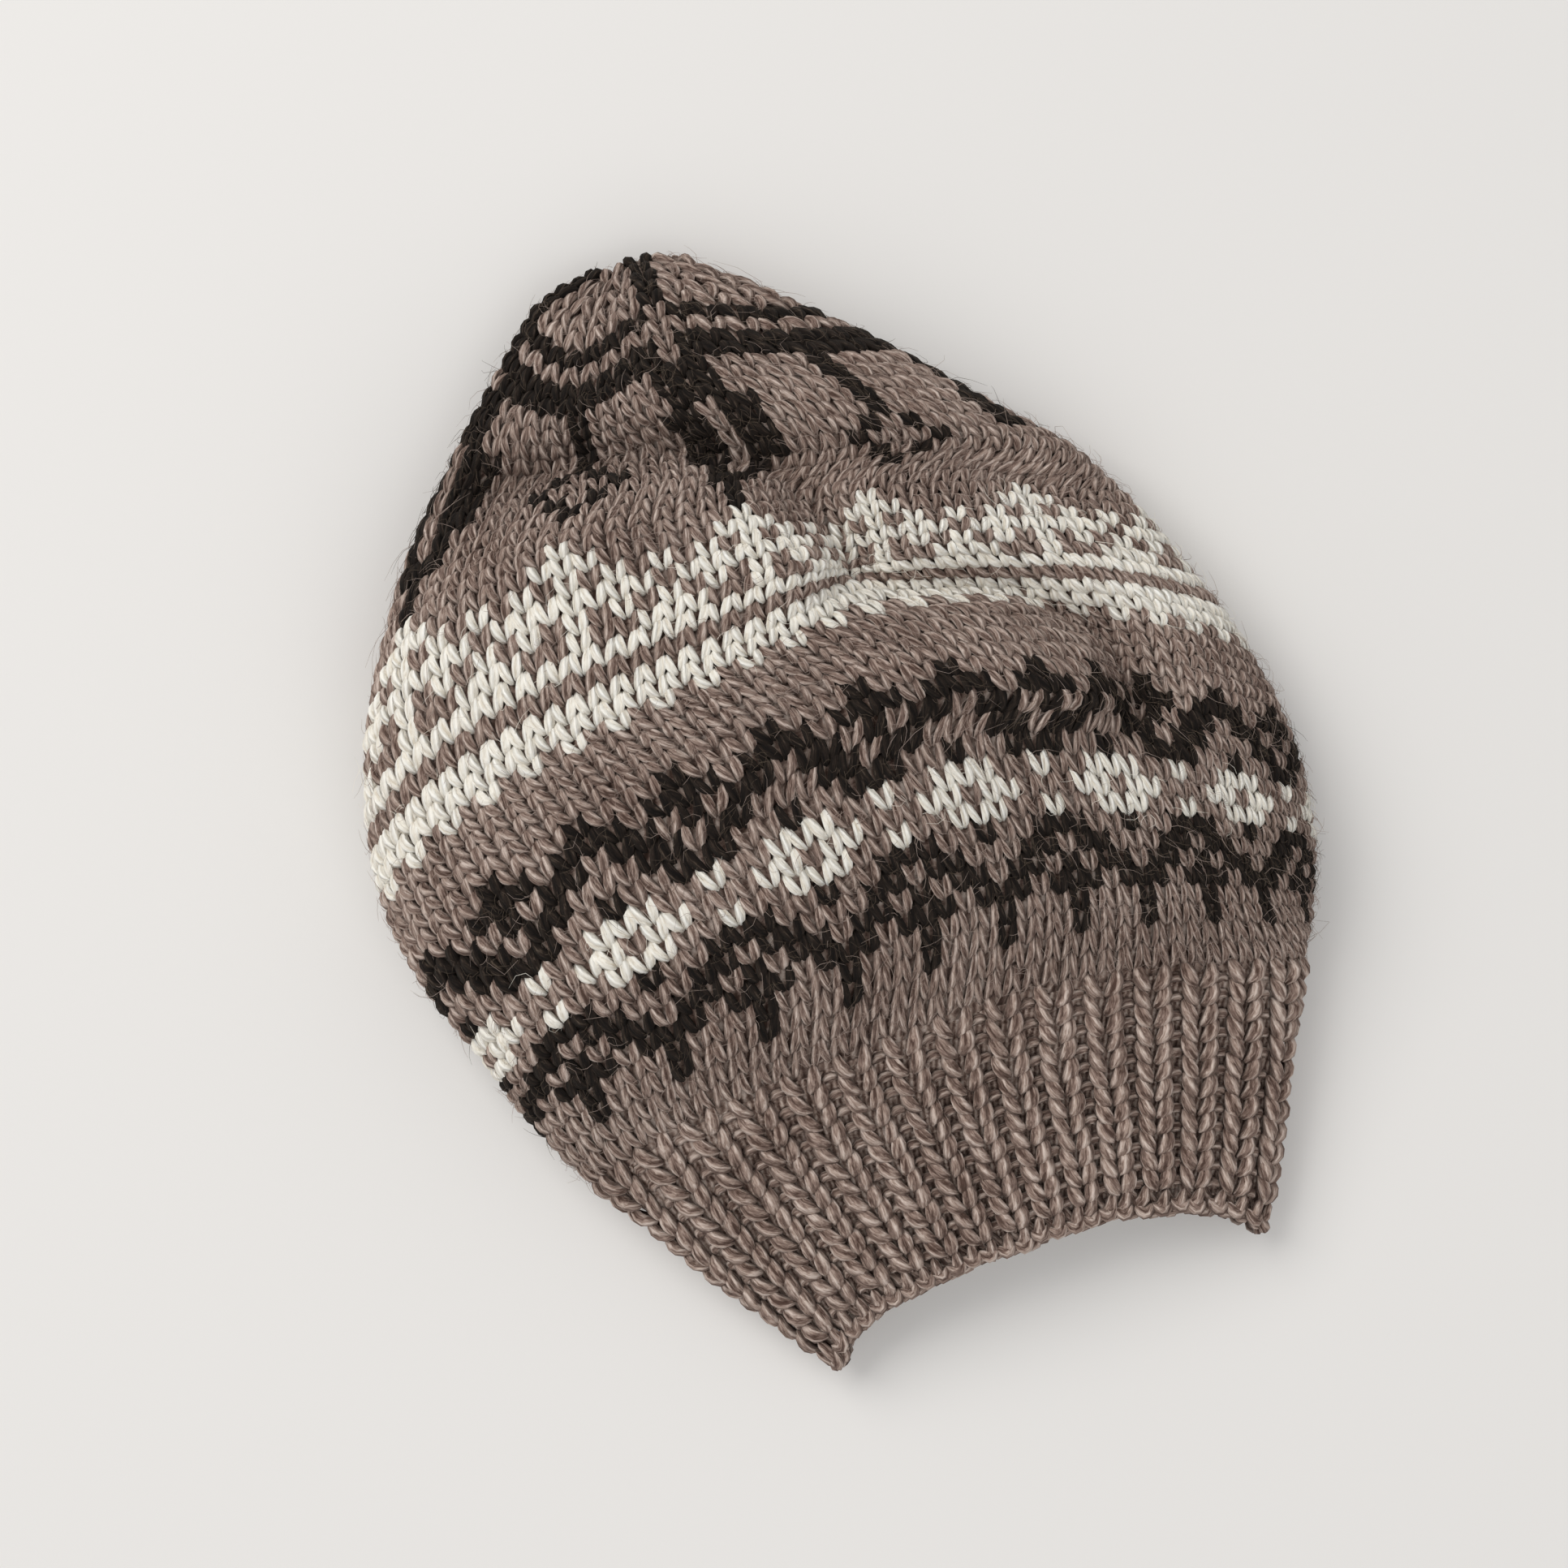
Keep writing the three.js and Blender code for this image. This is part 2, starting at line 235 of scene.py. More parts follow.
# Charts, one string a course from the rim upward, one letter a stitch: D dark, W cream, a point taupe
LOWER_CHART = (16, 0, ("D...D...", "D...D...", "DD.DDD.D", "D.DD.DD.", ".DD...DD", "DD..D..D", "W..WWW..",
                       "..WW.WW.", "W..WWW..", "DD..D..D", ".DD...DD", "D.DD.DD.", "DD.DDD.D", "D...D..."))
LINE_CHART = (34, 0, ("W.W.W.W.", "WWWWWWWW", "WWWWWWWW", "........", "WWWWWWWW"))
UPPER_CHART = (39, 1, ("W..WWW..", "W.W.W.W.", "WWWW.WWW", "W.W.W.W.", "WW.....W", "W......."))
# Crown: stitches from the wedge's middle, and from the chain of decreases, that are dark in each course
WEDGE_DARK = {47: (0,), 48: (1,), 49: (2,), 50: (1,), 51: (0,), 52: (0,), 53: (0,), 54: (0,), 55: (0,)}
CHAIN_DARK = {45: (0,), 46: (0,), 47: (0, 1), 48: (1,), 49: (1, 2), 50: (1, 2), 51: (1, 2), 52: (1, 2),
              53: (0, 1), 54: (0, 1), 55: (0, 1)}
DARK_COURSES = (56, 57, 59)
# Decrease chains that turn dark, by their wale, and from which course
DARK_CHAINS = {7: 60, 71: 57}
# The fold of the right side hides the foot of one chain's motif, up to this course
HIDDEN_FEET = {23: 50}


def clamp01(values):
    """Values held between 0 and 1."""
    return np.clip(values, 0.0, 1.0)


def course_values(rows):
    """The sections at any rows: a cubic between two sections, whose slopes come from their neighbours."""
    knots = SECTIONS[:, 0]
    last = len(knots) - 1
    before = np.maximum(np.arange(last + 1) - 1, 0)
    after = np.minimum(np.arange(last + 1) + 1, last)
    slopes = (SECTIONS[after] - SECTIONS[before]) / (knots[after] - knots[before])[:, None]
    index = np.minimum(np.searchsorted(knots[1:], rows, side="left"), last - 1)
    span = (knots[index + 1] - knots[index])[:, None]
    t = (rows - knots[index])[:, None] / span
    values = (SECTIONS[index] * (1 + 2 * t) * (1 - t) ** 2 + slopes[index] * span * t * (1 - t) ** 2
              + SECTIONS[index + 1] * t ** 2 * (3 - 2 * t) - slopes[index + 1] * span * t ** 2 * (1 - t))
    return {name: values[:, i:i + 1] for i, name in enumerate(SECTION_COLUMNS)}


def gap_to_line(x, y, line):
    """The way from the nearest point of a fold's line, found as the shortest over its straight runs."""
    best_x = np.full(x.shape, np.inf)
    best_y = np.full(x.shape, np.inf)
    for (x0, y0), (x1, y1) in zip(line[:-1], line[1:]):
        run_x = (x1 - x0) * HAT_WIDTH
        run_y = (y1 - y0) * HAT_LENGTH
        from_x = x - x0 * HAT_WIDTH
        from_y = y - y0 * HAT_LENGTH
        along = clamp01((from_x * run_x + from_y * run_y) / (run_x ** 2 + run_y ** 2))
        gap_x = from_x - along * run_x
        gap_y = from_y - along * run_y
        nearer = np.hypot(gap_x, gap_y) < np.hypot(best_x, best_y)
        best_x = np.where(nearer, gap_x, best_x)
        best_y = np.where(nearer, gap_y, best_y)
    return best_x, best_y


def hill(gap_squared, reach):
    """A Gaussian hill, by the square of the way from its middle and its reach as a share of the length."""
    return np.exp(-gap_squared / (reach * HAT_LENGTH) ** 2)


def course_points(rows, angles):
    """Points of the cloth, courses by angles. A course is an arch over a flattened underside: across is
    minus the cosine of the angle, the height a power of its sine, and the sides droop toward the rim by
    powers of the way from the middle. Folds are valleys of Gaussian section, swells Gaussian hills."""
    course = course_values(rows)
    across = -np.cos(angles)
    arch = np.sin(angles)
    centre = (course["left_x"] + course["right_x"]) / 2
    half = (course["right_x"] - course["left_x"]) / 2
    middle = (course["mid_x"] - centre) / half
    left_droop = course["left_y"] - course["mid_y"] + course["tilt"] * (1 + middle)
    right_droop = course["right_y"] - course["mid_y"] - course["tilt"] * (1 - middle)
    to_left = np.maximum(0, (middle - across) / (1 + middle)) ** LEFT_DROOP_POWER
    up_band = clamp01(rows[:, None] / BAND_ROWS)
    right_power = RIM_DROOP_POWER + (RIGHT_DROOP_POWER - RIM_DROOP_POWER) * up_band
    to_right = np.maximum(0, (across - middle) / (1 - middle)) ** right_power
    upper = clamp01(arch * LAYER_EDGE)
    lower = clamp01(-arch * LAYER_EDGE)
    x = (centre + across * half) * HAT_WIDTH
    y = course["mid_y"] + course["tilt"] * (across - middle) + left_droop * to_left + right_droop * to_right
    y = y * HAT_LENGTH - BACK_LIP * lower * clamp01(1 - rows[:, None] / BAND_ROWS)
    height = HAT_HEIGHT * course["loft"]
    side = height * course["side"]
    under = np.minimum(np.pi / 2, UNDER_TURN * np.minimum(np.abs(np.pi - angles), 2 * np.pi - angles))
    above = side + (height - side) * np.abs(arch) ** ARCH_POWER
    z = np.where(arch >= 0, above, side - side * np.sin(under))
    up_tip = clamp01((rows[:, None] - TIP_ROW + TIP_LIFT_ROWS) / TIP_LIFT_ROWS)
    z = z + HAT_HEIGHT * TIP_LIFT * up_tip ** 2
    draw_x, draw_y, valley, swell = (np.zeros(x.shape) for _ in range(4))
    for fold in FOLDS:
        gap_x, gap_y = gap_to_line(x, y, fold["line"])
        near = upper * hill(gap_x ** 2 + gap_y ** 2, fold["reach"])
        valley += (fold["drop"] * near) ** 2
        draw_x += fold["gather"] * near * gap_x
        draw_y += fold["gather"] * near * gap_y
    for ridge in RIDGES:
        gap_x, gap_y = gap_to_line(x, y, ridge["line"])
        swell += ridge["rise"] * upper * hill(gap_x ** 2 + gap_y ** 2, ridge["reach"])
    for mound in SWELLS:
        gap = (x - mound["at"][0] * HAT_WIDTH) ** 2 + (y - mound["at"][1] * HAT_LENGTH) ** 2
        swell += mound["rise"] * upper * hill(gap, mound["reach"])
    return np.stack([x - draw_x, y - draw_y, z + HAT_HEIGHT * (swell - np.sqrt(valley))], axis=-1)


def wale_angles(rows, wales):
    """The angle of every wale of every course: stitches are spread by length along the arch and along
    the underside, and the middle wale leans them to one side by a parabola, which low on the body is
    skewed toward the right."""
    angles = np.linspace(0, 2 * np.pi, ARCH_STEPS + 1)
    loops = course_points(rows, np.broadcast_to(angles, (len(rows), len(angles))))
    steps = np.hypot(np.diff(loops[..., 0]), np.diff(loops[..., 2]))
    lengths = np.concatenate([np.zeros((len(rows), 1)), np.cumsum(steps, axis=1)], axis=1)
    half = len(angles) // 2
    course = course_values(rows)
    t = lengths / lengths[:, half:half + 1]
    lean = course["mid_wale"] - (course["left_wale"] + course["right_wale"]) / 2
    skew = LOW_SKEW * clamp01((SKEW_END - course["row"]) / SKEW_ROWS)
    top = course["left_wale"] + (course["right_wale"] - course["left_wale"]) * t
    top = top + lean * 4 * t * (1 - t) * (1 + skew * (2 * t - 1))
    share = (lengths - lengths[:, half:half + 1]) / (lengths[:, -1:] - lengths[:, half:half + 1])
    under = course["right_wale"] + (course["left_wale"] + BODY_WALES - course["right_wale"]) * share
    at = np.where(np.arange(len(angles)) > half, under, top)
    turned = at[:, :1] + (wales - at[:, :1]) % BODY_WALES
    return np.stack([np.interp(turned[i], at[i], angles) for i in range(len(rows))])


# The grid that the cloth is worked out on, in rows and wales, and how near its last line a place may come
GRID_STEP = 0.25
EDGE = 0.001
GRID_FIRST_ROW = -1.0
GRID_FIRST_WALE = -26.0
GRID_ROWS = np.arange(GRID_FIRST_ROW, TIP_ROW + GRID_STEP / 2, GRID_STEP)
GRID_WALES = np.arange(GRID_FIRST_WALE, GRID_FIRST_WALE + BODY_WALES + GRID_STEP / 2, GRID_STEP)


def unit(vectors):
    """The same directions, one long."""
    return vectors / np.maximum(np.linalg.norm(vectors, axis=-1, keepdims=True), SMALL)


def cloth_grid():
    """The cloth on a fine grid, in millimetres from the part's origin, with its normals and the length
    of a wale. Past the tip row the last course shrinks to its middle along a quarter circle."""
    points = course_points(GRID_ROWS, wale_angles(GRID_ROWS, GRID_WALES))
    last = points[-1]
    middle = last[:-1].mean(axis=0)
    turn = np.linspace(0, np.pi / 2, int((CLOSED_ROW - TIP_ROW) / GRID_STEP) + 1)[1:, None, None]
    cap = middle + (last - middle) * np.cos(turn) + np.array([0, TIP_CAP, 0]) * np.sin(turn)
    points = np.concatenate([points, cap])
    low, high = np.array(CAD_BOX[0]), np.array(CAD_BOX[1])
    on_hat = points[int(-GRID_FIRST_ROW / GRID_STEP):]
    shift = np.array([(low[0] + high[0]) / 2 / MM - (on_hat[..., 0].min() + on_hat[..., 0].max()) / 2,
                      (low[1] + high[1]) / 2 / MM - (on_hat[..., 1].min() + on_hat[..., 1].max()) / 2,
                      low[2] / MM - on_hat[..., 2].min()])
    points = points + shift
    along_row = np.gradient(points, GRID_STEP, axis=0)
    wrapped = np.concatenate([points[:, -2:-1], points, points[:, 1:2]], axis=1)
    along_wale = (wrapped[:, 2:] - wrapped[:, :-2]) / (2 * GRID_STEP)
    return points, unit(np.cross(along_wale, along_row)), np.linalg.norm(along_wale, axis=-1)


POINTS, NORMALS, WALE_LENGTH = cloth_grid()


def sample(grid, rows, wales):
    """The grid's value at any rows and wales, bilinear between its four nearest points."""
    r = np.clip((rows - GRID_FIRST_ROW) / GRID_STEP, 0, len(grid) - 1 - EDGE)
    w = np.clip(((wales - GRID_FIRST_WALE) % BODY_WALES) / GRID_STEP, 0, grid.shape[1] - 1 - EDGE)
    i, j = r.astype(int), w.astype(int)
    a, b = r - i, w - j
    if grid.ndim == 3:
        a, b = a[..., None], b[..., None]
    return ((grid[i, j] * (1 - b) + grid[i, j + 1] * b) * (1 - a)
            + (grid[i + 1, j] * (1 - b) + grid[i + 1, j + 1] * b) * a)


def on_cloth(rows, wales, lift):
    """Places lifted from the cloth along its normal, and the normals there."""
    normals = unit(sample(NORMALS, rows, wales))
    return sample(POINTS, rows, wales) + normals * lift[..., None], normals


def scallop(rows, wales):
    """How far a crown course moves to the tip: a cosine over each wedge, up at the decrease chains."""
    wave = 0.5 - np.cos(2 * np.pi * (wales + 1) / WEDGE_WALES) / 2
    rise = clamp01((rows - SCALLOP_START) / SCALLOP_ROWS) * clamp01((TIP_ROW + 1 - rows) / SCALLOP_END_ROWS)
    return SCALLOP * rise * (wave - 0.5)


def strand_frame(centres, normals):
    """The sideways and upward directions at each station of each strand."""
    along = unit(np.gradient(centres, axis=1))
    side = unit(np.cross(along, normals))
    return side, np.cross(side, along)


def strand_mesh(centres, normals, radii, turns):
    """Yarn lengths as closed tubes. centres holds each strand's stations, the first and last its two
    points; every station between is a flattened ring about the strand's own direction. turns moves the
    pattern along each strand."""
    count, stations = centres.shape[:2]
    rings = stations - 2
    side, up = strand_frame(centres, normals)
    theta = -np.pi / 2 + 2 * np.pi * np.arange(YARN_SIDES) / YARN_SIDES
    ring = (np.cos(theta)[:, None] * side[:, 1:-1, None]
            + YARN_FLATNESS * np.sin(theta)[:, None] * up[:, 1:-1, None])
    ring = centres[:, 1:-1, None] + ring * radii[:, 1:-1, None, None]
    vertices = np.concatenate([centres[:, :1], ring.reshape(count, -1, 3), centres[:, -1:]], axis=1)
    per_strand = vertices.shape[1]
    k = np.arange(YARN_SIDES)
    nxt = (k + 1) % YARN_SIDES
    start = 1 + YARN_SIDES * np.arange(rings - 1)[:, None]
    beyond = start + YARN_SIDES
    quads = np.stack([start + k, beyond + k, beyond + nxt, start + nxt], axis=-1).reshape(-1, 4)
    last = 1 + YARN_SIDES * (rings - 1)
    tips = np.concatenate([np.stack([k * 0, 1 + k, 1 + nxt], axis=-1),
                           np.stack([k * 0 + per_strand - 1, last + nxt, last + k], axis=-1)])
    steps = np.linalg.norm(np.diff(centres, axis=1), axis=-1)
    reach = np.concatenate([np.zeros((count, 1)), np.cumsum(steps, axis=1)], axis=1)
    reach = reach / PATTERN_STEP + turns[:, None]
    around = np.pi / YARN_SIDES
    u_quad = np.stack([k, k, k + 1, k + 1], axis=-1) * around
    u_quad = np.broadcast_to(u_quad, (rings - 1, YARN_SIDES, 4)).reshape(-1)
    station = 1 + np.arange(rings - 1)[:, None, None]
    v_quad = np.broadcast_to(station + np.array([0, 1, 1, 0]), (rings - 1, YARN_SIDES, 4)).reshape(-1)
    u_tip = np.concatenate([np.stack([k + 0.5, k, k + 1], axis=-1), np.stack([k + 0.5, k + 1, k], axis=-1)])
    v_tip = np.concatenate([np.broadcast_to([0, 1, 1], (YARN_SIDES, 3)),
                            np.broadcast_to([stations - 1, stations - 2, stations - 2], (YARN_SIDES, 3))])
    u = np.concatenate([u_quad, u_tip.reshape(-1) * around])
    v = np.concatenate([v_quad, v_tip.reshape(-1)])
    corners = np.concatenate([quads.reshape(-1), tips.reshape(-1)])
    sizes = np.concatenate([np.full(len(quads), 4), np.full(len(tips), 3)])
    offset = np.arange(count)[:, None] * per_strand
    uv = np.stack([np.broadcast_to(u, (count, len(u))), reach[:, v]], axis=-1)
    return {"vertices": vertices.reshape(-1, 3), "corners": (corners + offset).reshape(-1),
            "sizes": np.tile(sizes, count), "uv": uv.reshape(-1, 2)}


def grid_mesh(points):
    """A closed mesh from a loop of rings, rings by points, wrapped both ways."""
    rings, around = points.shape[:2]
    i = np.arange(rings)[:, None]
    j = np.arange(around)[None]
    nxt = (j + 1) % around
    below = ((i + 1) % rings) * around
    quads = np.stack([i * around + j, i * around + nxt, below + nxt, below + j], axis=-1)
    u = np.stack([j, j + 1, j + 1, j], axis=-1) * np.ones((rings, 1, 1))
    v = np.stack([i, i, i + 1, i + 1], axis=-1) * np.ones((1, around, 1))
    return {"vertices": points.reshape(-1, 3), "corners": quads.reshape(-1),
            "sizes": np.full(rings * around, 4), "uv": np.stack([u, v], axis=-1).reshape(-1, 2)}


def joined(meshes):
    """Several meshes as one, with the corners counted on."""
    starts = np.cumsum([0] + [len(m["vertices"]) for m in meshes[:-1]])
    return {"vertices": np.concatenate([m["vertices"] for m in meshes]),
            "corners": np.concatenate([m["corners"] + s for m, s in zip(meshes, starts)]),
            "sizes": np.concatenate([m["sizes"] for m in meshes]),
            "uv": np.concatenate([m["uv"] for m in meshes])}


def add_piece(name, mesh, finish, node):
    """A smooth Blender piece from whole arrays, held above the surface that the hat lies on."""
    vertices = mesh["vertices"].copy()
    vertices[:, 2] = np.maximum(vertices[:, 2], FLOOR_GAP)
    sizes = mesh["sizes"]
    data = bpy.data.meshes.new(name)
    data.vertices.add(len(vertices))
    data.vertices.foreach_set("co", (vertices * MM).astype(np.float32).reshape(-1))
    data.loops.add(len(mesh["corners"]))
    data.loops.foreach_set("vertex_index", mesh["corners"].astype(np.int32))
    data.polygons.add(len(sizes))
    data.polygons.foreach_set("loop_start", (np.cumsum(sizes) - sizes).astype(np.int32))
    data.polygons.foreach_set("use_smooth", np.ones(len(sizes), bool))
    uv = data.uv_layers.new(name="yarn")
    uv.data.foreach_set("uv", mesh["uv"].astype(np.float32).reshape(-1))
    data.update(calc_edges=True)
    data.materials.append(finish)
    piece = bpy.data.objects.new(name, data)
    bpy.context.scene.collection.objects.link(piece)
    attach(piece, "root")
    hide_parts(node)


def stitch_table():
    """Every plain stitch above the band as arrays: row, wale, width in wales, letter of its yarn and
    whether it is a stitch of a decrease chain."""
    table = []
    for row in range(FIRST_PLAIN_ROW, TIP_ROW + 1):
        half = WHOLE_HALF_WEDGE - max(0, (row - FIRST_DECREASE) // 2 + 1)
        count = 2 * half + 2
        for wedge in range(BODY_WALES // WEDGE_WALES):
            for c in range(-half, half + 2):
                wale = WEDGE_WALES * wedge - 1 + c * WEDGE_WALES / count
                letter = crown_letter(row, wedge, c, half)
                table.append((float(row), wale, WEDGE_WALES / count, letter, c == half + 1))
    return [np.array(column) for column in zip(*table)]


def crown_letter(row, wedge, c, half):
    """The yarn of one stitch, by the charts. c counts stitches from the wedge's middle."""
    wale = WEDGE_WALES * wedge - 1 + c
    for first, shift, chart in (LOWER_CHART, LINE_CHART, UPPER_CHART):
        if first <= row < first + len(chart):
            letter = chart[row - first][(wale + shift) % REPEAT_WALES]
            if letter != ".":
                return letter
    from_chain = min(half + 1 - c, c + half + 1)
    chain_wale = WEDGE_WALES * wedge - 1 + WEDGE_WALES // 2
    nearest_chain = chain_wale - (WEDGE_WALES if c < 0 else 0)
    beside_chain = from_chain in CHAIN_DARK.get(row, ()) and row >= HIDDEN_FEET.get(nearest_chain, 0)
    if abs(c) in WEDGE_DARK.get(row, ()) or beside_chain:
        return "D"
    if from_chain == 0 and row >= DARK_CHAINS.get(chain_wale, TIP_ROW + 1):
        return "D"
    if row in DARK_COURSES:
        return "." if from_chain == 0 else "D"
    return "."


def pattern_turns(rng, count):
    """Where the yarn's pattern starts on each strand."""
    return rng.integers(0, PATTERN_TURNS, count) * PATTERN_TURN


def plump(t, power):
    """The swelling of a strand from end to end: a power of a sine that never reaches nothing."""
    return np.maximum(np.sin(np.pi * t), 0.1) ** power


def stitch_legs(rows, wales, widths, raised, fatness, rng, spread=LEG_SPREAD, lean=LEAN):
    """Both legs of each stitch. From the point of the V a leg leans out by a quarter sine, climbs one
    and a half rows, and arches up out of the cloth and back into it by a power of a sine."""
    t = LEG_T
    meshes = []
    count = len(rows)
    jitter = rng.normal(0, 1, (6, count))
    for hand in (-1, 1):
        across = lean * (1 - t) + hand * (LEG_START + spread * np.sin(np.pi / 2 * t ** 0.85))
        climb = LEG_FOOT + LEG_CLIMB * t
        reach = 1 + WANDER["spread"] * jitter[0][:, None]
        wale = wales[:, None] + widths[:, None] * (across * reach + WANDER["wale"] * jitter[1][:, None])
        row = rows[:, None] + climb + WANDER["row"] * jitter[2][:, None]
        row = row + WANDER["legs"] * hand * jitter[3][:, None]
        row = row + scallop(row, wale)
        arch = np.sin(np.pi * t) ** 0.6
        rise = LEG_RISE + WANDER["rise"] * jitter[4][:, None]
        lift = rise * arch - LEG_DEPTH + raised[:, None] * np.sin(np.pi * t)
        centres, normals = on_cloth(row, wale, lift)
        wide = sample(WALE_LENGTH, rows, wales) * widths
        radius = np.minimum(THICKEST, YARN_SHARE * wide) * fatness
        radii = radius[:, None] * (1 + WANDER["radius"] * jitter[5][:, None]) * np.maximum(arch, 0.1) ** 0.75
        meshes.append(strand_mesh(centres, normals, radii, pattern_turns(rng, count)))
    return joined(meshes)


def rib_stitches(rng):
    """The knit columns of the ribbing: a stack of plump Vs on each rib's crest."""
    rows = FIRST_RIB_ROW + RIB_ROW_STEP * np.arange(RIB_ROWS)
    rows, ribs = np.meshgrid(rows, np.arange(RIB_COUNT))
    wales = RIB_WALE + ribs.reshape(-1) * BODY_WALES / RIB_COUNT
    widths = np.full(wales.shape, RIB_STITCH_WALES)
    raised = np.full(wales.shape, RIB_RAISE)
    return stitch_legs(rows.reshape(-1), wales, widths, raised, RIB_FATNESS, rng, RIB_SPREAD, 0.0)


def purl_bumps(rng):
    """The purl columns: a short strand across the valley between two ribs for every row."""
    t = LEG_T
    rows = FIRST_RIB_ROW - 0.5 + RIB_ROW_STEP * np.arange(RIB_ROWS + 1)
    rows, ribs = np.meshgrid(rows, np.arange(RIB_COUNT))
    rows = rows.reshape(-1)[:, None] + 0.05 * rng.normal(0, 1, (rows.size, 1))
    wales = RIB_WALE + (ribs.reshape(-1)[:, None] + 0.5) * BODY_WALES / RIB_COUNT
    row = rows + PURL_BOW * np.sin(np.pi * t)
    wale = wales + PURL_WALES * (t - 0.5)
    lift = PURL_RISE * np.sin(np.pi * t) - RIB_DEPTH - PURL_DEPTH
    centres, normals = on_cloth(row, wale, lift + 0 * row)
    radii = PURL_RADIUS * plump(t, 0.4) + 0 * row
    return strand_mesh(centres, normals, radii, pattern_turns(rng, len(rows)))


def cast_on(rng):
    """The cast-on edge: slanted loops that wrap the rim by half a circle, and two lines of short
    strands along it, each bowed by a sine."""
    t = LEG_T
    meshes = []
    count = 2 * RIB_COUNT
    first = RIB_WALE + np.arange(count)[:, None] * BODY_WALES / count
    wobble = rng.normal(0, 1, (4, count, 1))
    turn = np.pi * (0.02 + 1.0 * t)
    row = LOOP_TOP + 0.12 * wobble[0] - LOOP_REACH * np.sin(turn)
    wale = first + 0.12 * wobble[1] + LOOP_SLANT * (0.5 - t)
    centres, normals = on_cloth(row, wale, LOOP_SWING * np.cos(turn) - LOOP_DEPTH + 0 * row)
    radii = LOOP_RADIUS * plump(t, 0.35) + 0 * row
    meshes.append(strand_mesh(centres, normals, radii, pattern_turns(rng, count)))
    for shift, level, lift in BEAD_LINES:
        row = level + 0.1 * wobble[2] - BEAD_BOW * np.sin(np.pi * t)
        wale = first + shift + 0.1 * wobble[3] + BEAD_WALES * (t - 0.5)
        centres, normals = on_cloth(row, wale, lift + BEAD_RISE * np.sin(np.pi * t) + 0 * row)
        radii = BEAD_RADIUS * plump(t, 0.4) + 0 * row
        meshes.append(strand_mesh(centres, normals, radii, pattern_turns(rng, count)))
    return joined(meshes)


def loop_backs(first_row, last_row, steps, ribbed):
    """The inside of the knitting as a closed wall: its outer face lies under the stitches, and its inner
    face carries the purl side's rounded bumps, a product of sines in row and wale."""
    rows = np.linspace(first_row, last_row, steps + 1)[:, None]
    wales = np.arange(GRID_FIRST_WALE, GRID_FIRST_WALE + BODY_WALES, 1 / 3 if ribbed else 1 / 2)[None]
    rows, wales = np.broadcast_arrays(rows, wales)
    valley = 0.5 - 0.5 * np.cos(2 * np.pi * (wales - RIB_WALE) * RIB_COUNT / BODY_WALES)
    rib = RIB_DEPTH * valley * clamp01((BAND_ROWS - rows) / 3)
    bump = INSIDE_BUMP * np.sin(np.pi * rows) ** 2 * (0.6 + 0.4 * np.sin(np.pi * wales) ** 2)
    if ribbed:
        bump = bump * (1 - valley)
    outer, _ = on_cloth(rows, wales, -INSIDE_TOP - rib)
    inner, _ = on_cloth(rows, wales, -INSIDE_BOTTOM - rib - bump)
    return grid_mesh(np.concatenate([outer, inner[::-1]]))


def fuzz(table, letter, count, rng, length):
    """Stray fibres of one yarn: thin three-sided hairs that leave the cloth at a slant and curl over by
    a parabola."""
    rows, wales, _, letters, _ = table
    pick = rng.choice(np.flatnonzero(letters == letter), count)
    t = np.linspace(0, 1, FIBRE_STATIONS)[None]
    row0 = rows[pick][:, None] + rng.uniform(-FIBRE_ROWS, FIBRE_ROWS, (count, 1))
    wale0 = wales[pick][:, None] + rng.uniform(-FIBRE_WALES, FIBRE_WALES, (count, 1))
    heading = rng.uniform(0, 2 * np.pi, (count, 1))
    reach = length * rng.lognormal(0, FIBRE_LENGTHS, (count, 1))
    slant = rng.uniform(*FIBRE_SLANTS, (count, 1))
    curl = rng.normal(0, FIBRE_TURN, (count, 1))
    bearing = heading + curl * t
    row = row0 + scallop(row0, wale0) + np.cos(bearing) * reach * t / ROW_HEIGHT
    wide = np.maximum(sample(WALE_LENGTH, row0, wale0), NARROWEST_WALE)
    wale = wale0 + np.sin(bearing) * reach * t / wide
    centres, normals = on_cloth(row, wale, reach * slant * (t - FIBRE_SAG * t ** 2) - FIBRE_ROOT)
    return hair_mesh(centres, normals)


def hair_mesh(centres, normals):
    """Thin closed strips of three sides that taper to a third at the far end. Their UV holds the crest
    of the yarn's shading all along."""
    count, stations = centres.shape[:2]
    side, up = strand_frame(centres, normals)
    theta = 2 * np.pi * np.arange(FIBRE_SIDES) / FIBRE_SIDES
    thick = FIBRE_RADIUS * np.linspace(1, FIBRE_TIP, stations)[None, :, None, None]
    ring = np.cos(theta)[:, None] * side[:, :, None] + np.sin(theta)[:, None] * up[:, :, None]
    vertices = centres[:, :, None] + ring * thick
    k = np.arange(FIBRE_SIDES)
    nxt = (k + 1) % FIBRE_SIDES
    start = FIBRE_SIDES * np.arange(stations - 1)[:, None]
    beyond = start + FIBRE_SIDES
    quads = np.stack([start + k, beyond + k, beyond + nxt, start + nxt], axis=-1).reshape(-1)
    ends = np.concatenate([k, FIBRE_SIDES * stations - 1 - k])
    corners = np.concatenate([quads, ends])
    offset = np.arange(count)[:, None] * FIBRE_SIDES * stations
    sizes = np.concatenate([np.full(FIBRE_SIDES * (stations - 1), 4), [FIBRE_SIDES, FIBRE_SIDES]])
    return {"vertices": vertices.reshape(-1, 3), "corners": (corners + offset).reshape(-1),
            "sizes": np.tile(sizes, count), "uv": np.full((count * len(corners), 2), np.pi / 2)}


